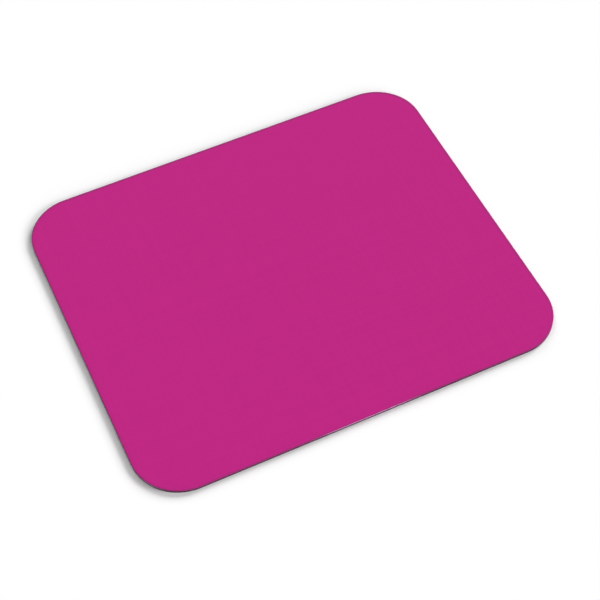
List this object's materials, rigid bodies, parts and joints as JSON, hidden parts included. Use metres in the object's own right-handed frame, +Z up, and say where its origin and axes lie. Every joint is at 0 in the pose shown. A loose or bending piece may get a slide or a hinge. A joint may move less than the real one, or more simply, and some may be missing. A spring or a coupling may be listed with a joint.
{
  "type": "mouse pad",
  "caption": "Thin rectangular mouse pad with wide round corners: a dyed cloth face bonded by a thin film to a dark sponge rubber base, for a computer mouse to glide on.",
  "frame": {"origin": "middle of the underside, on the desk", "axes": "+X along the longer side, +Y towards the back edge, +Z up through the pad"},
  "size_m": [0.235, 0.2, 0.002],
  "materials": {
    "surface_cloth": "matte dyed polyester cloth, fine plain weave",
    "bonding_film": "pale translucent glue film, seen only at the cut edge",
    "rubber_base": "dark matte sponge rubber with a fine pressed grip pattern below"
  },
  "bodies": {
    "root": {"surface_cloth": "surface_cloth", "bonding_film": "bonding_film", "rubber_base": "rubber_base"}
  },
  "joints": []
}
